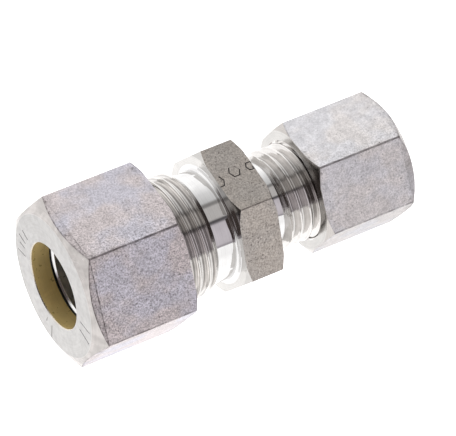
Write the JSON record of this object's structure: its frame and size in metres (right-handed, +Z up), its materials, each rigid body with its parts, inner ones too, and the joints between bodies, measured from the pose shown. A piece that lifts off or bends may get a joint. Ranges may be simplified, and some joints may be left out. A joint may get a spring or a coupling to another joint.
{
  "type": "tube coupling",
  "caption": "Straight reducing tube coupling in stainless steel, with a hexagonal body, threaded studs, union nuts and cutting rings.",
  "frame": {"origin": "centre of the overall bounding box, on the tube axis, with both nuts loosely screwed on as shown", "axes": "+X along the tube axis from the large end to the small end, +Z up, normal to a flat of the large nut"},
  "size_m": [0.0524, 0.0254, 0.022],
  "materials": {
    "body_steel": "machined stainless steel with bright necks and grooves and brownish-grey drawn flats",
    "nut_steel": "pale pickled stainless steel, satin and faintly mottled, with bright machined chamfers",
    "ring_steel": "fine turned stainless steel, nearly bright"
  },
  "bodies": {
    "fitting_body": {"union_body": "body_steel"},
    "large_ring": {"large_cutting_ring": "ring_steel"},
    "large_nut": {"large_union_nut": "nut_steel"},
    "small_ring": {"small_cutting_ring": "ring_steel"},
    "small_nut": {"small_union_nut": "nut_steel"}
  },
  "joints": [
    {"name": "large_nut_turn", "type": "hinge", "parent": "large_ring", "child": "large_nut", "pos_m": [-0.01843, 0, 0], "axis": [-1, 0, 0], "range_deg": [-780, 900]},
    {"name": "large_end_travel", "type": "slide", "parent": "fitting_body", "child": "large_ring", "axis": [-1, 0, 0], "range_m": [-0.0033, 0.0038]},
    {"name": "small_nut_turn", "type": "hinge", "parent": "small_ring", "child": "small_nut", "pos_m": [0.01893, 0, 0], "axis": [1, 0, 0], "range_deg": [-504, 900]},
    {"name": "small_end_travel", "type": "slide", "parent": "fitting_body", "child": "small_ring", "axis": [1, 0, 0], "range_m": [-0.00215, 0.0038]}
  ],
  "couplings": [
    {"joint": "large_end_travel", "follows": "large_nut_turn", "m_per_rad": 0.00023873},
    {"joint": "small_end_travel", "follows": "small_nut_turn", "m_per_rad": 0.00023873}
  ]
}
